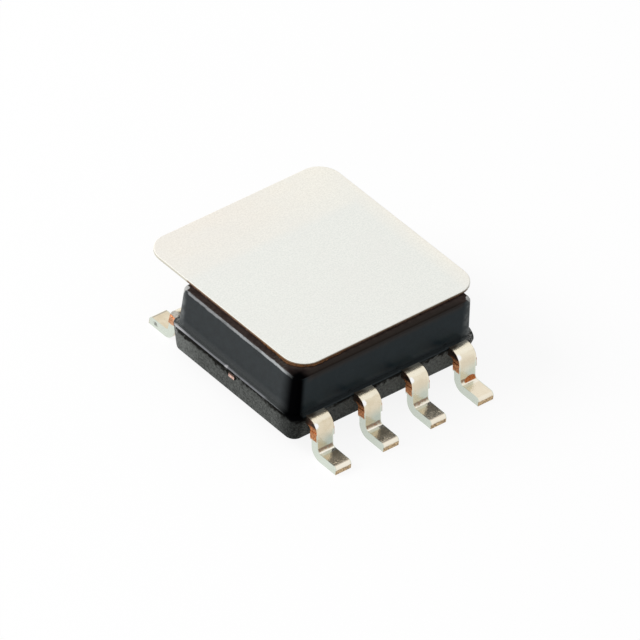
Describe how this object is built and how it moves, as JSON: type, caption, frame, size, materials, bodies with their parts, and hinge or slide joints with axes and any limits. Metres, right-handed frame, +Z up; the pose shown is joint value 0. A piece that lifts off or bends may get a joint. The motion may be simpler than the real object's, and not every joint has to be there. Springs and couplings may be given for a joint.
{
  "type": "small-outline integrated circuit package",
  "caption": "Gull-wing surface-mount sensor package: stepped black moulded body with a white cover sheet stuck on top, overhanging one side and one end.",
  "frame": {"origin": "centre of the lead pattern, on the plane the feet stand on", "axes": "+X along the lead rows, +Y across them towards the side that the sheet overhangs, +Z up"},
  "size_m": [0.0052, 0.0062, 0.0019],
  "materials": {
    "mould_compound": "satin black epoxy mould compound with fine filler grain",
    "tinned_copper": "matte tin plate, bare copper where the strip was cut",
    "copper_frame": "bare copper alloy strip",
    "silver_paste": "cured silver-filled adhesive",
    "silicon": "polished silicon",
    "gold_wire": "drawn gold wire",
    "amber_adhesive": "clear amber film adhesive",
    "white_film": "satin white, faintly translucent film"
  },
  "bodies": {
    "root": {"body": "mould_compound", "lead_1": "tinned_copper", "lead_2": "tinned_copper", "lead_3": "tinned_copper", "lead_4": "tinned_copper", "lead_5": "tinned_copper", "lead_6": "tinned_copper", "lead_7": "tinned_copper", "lead_8": "tinned_copper", "die_paddle": "copper_frame", "die_attach": "silver_paste", "die": "silicon", "wire_1": "gold_wire", "wire_2": "gold_wire", "wire_3": "gold_wire", "wire_4": "gold_wire", "wire_5": "gold_wire", "wire_6": "gold_wire", "wire_7": "gold_wire", "wire_8": "gold_wire", "sheet_adhesive": "amber_adhesive", "cover_sheet": "white_film"}
  },
  "joints": []
}
